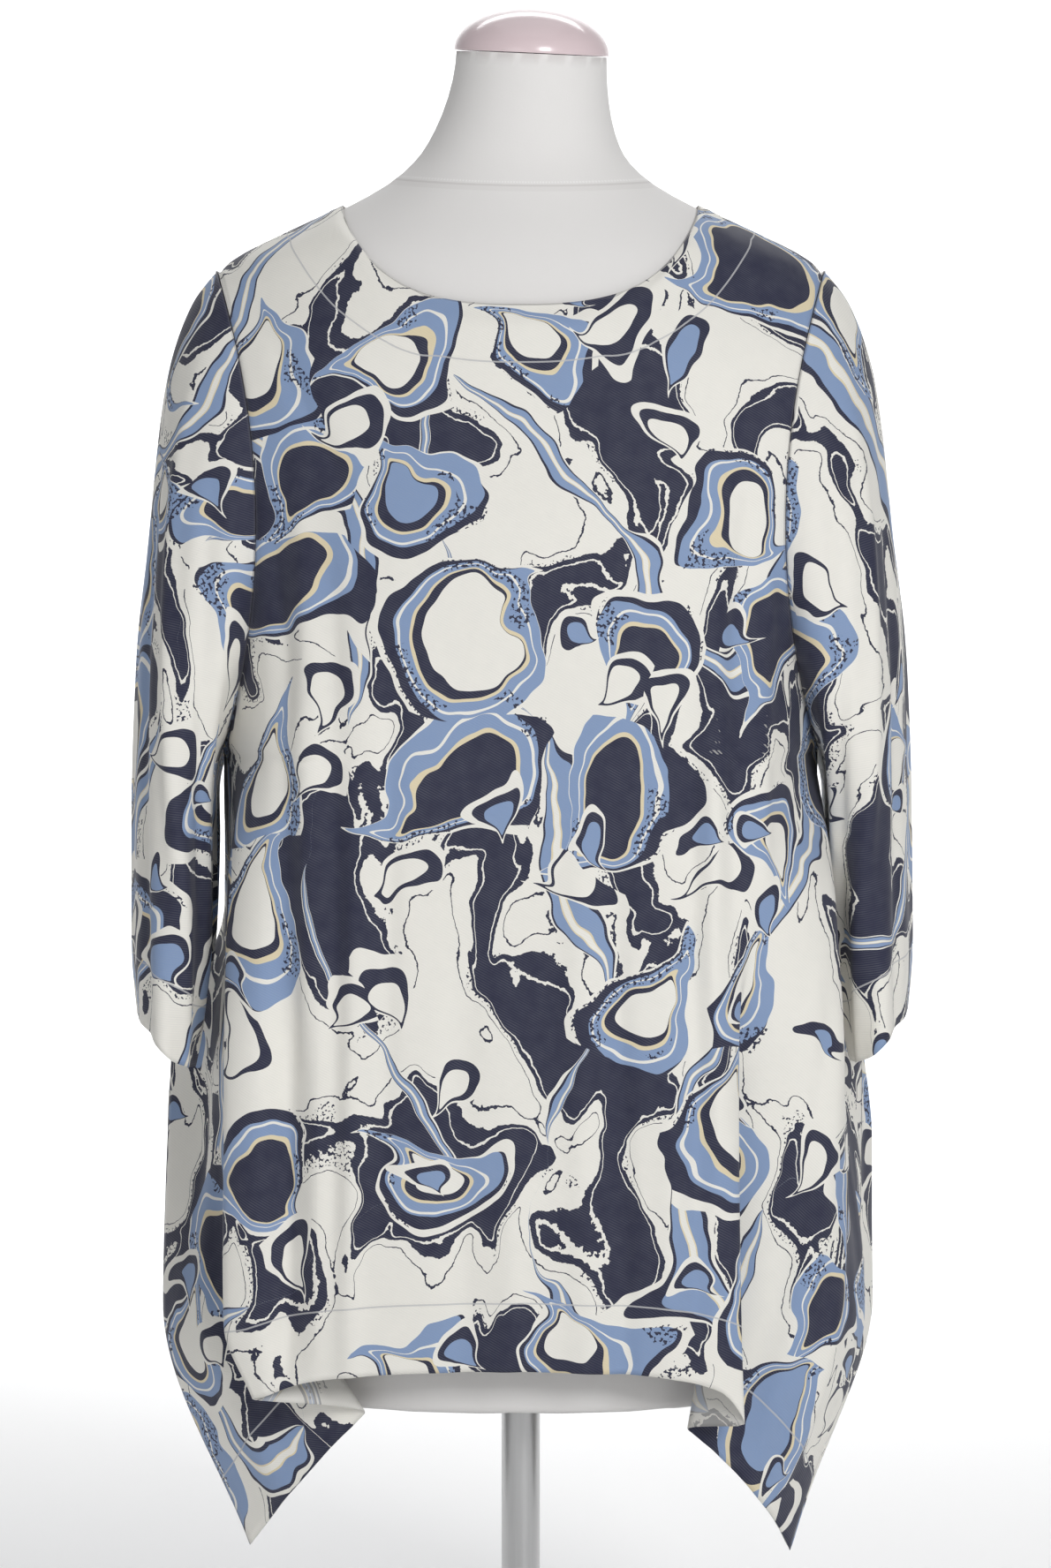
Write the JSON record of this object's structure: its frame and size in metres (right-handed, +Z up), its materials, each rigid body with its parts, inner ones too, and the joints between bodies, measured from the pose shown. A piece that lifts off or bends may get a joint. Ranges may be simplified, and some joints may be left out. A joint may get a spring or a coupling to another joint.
{
  "type": "printed tunic blouse on a limbless dress form",
  "caption": "Wide printed tunic blouse with round neck, elbow sleeves and pointed side corners, worn by a limbless bust dress form with a domed neck cap, on a pole and round base.",
  "frame": {"origin": "centre of the round base's underside, on the surface it stands on", "axes": "+Z up; the blouse's front faces -Y; +X is towards the right of someone looking at its front"},
  "size_m": [0.5013, 0.3, 1.1023],
  "materials": {
    "print_cloth": "thin woven cloth with a printed cream, navy, blue and beige pattern",
    "form_cloth": "smooth stretched off-white cloth",
    "cap": "glossy pale pink",
    "stand_metal": "satin"
  },
  "bodies": {
    "root": {"blouse_front": "print_cloth", "blouse_back": "print_cloth", "sleeve_left": "print_cloth", "sleeve_right": "print_cloth", "dress_form": "form_cloth", "neck_cap": "cap", "stand_pole": "stand_metal", "stand_base": "stand_metal"}
  },
  "joints": []
}
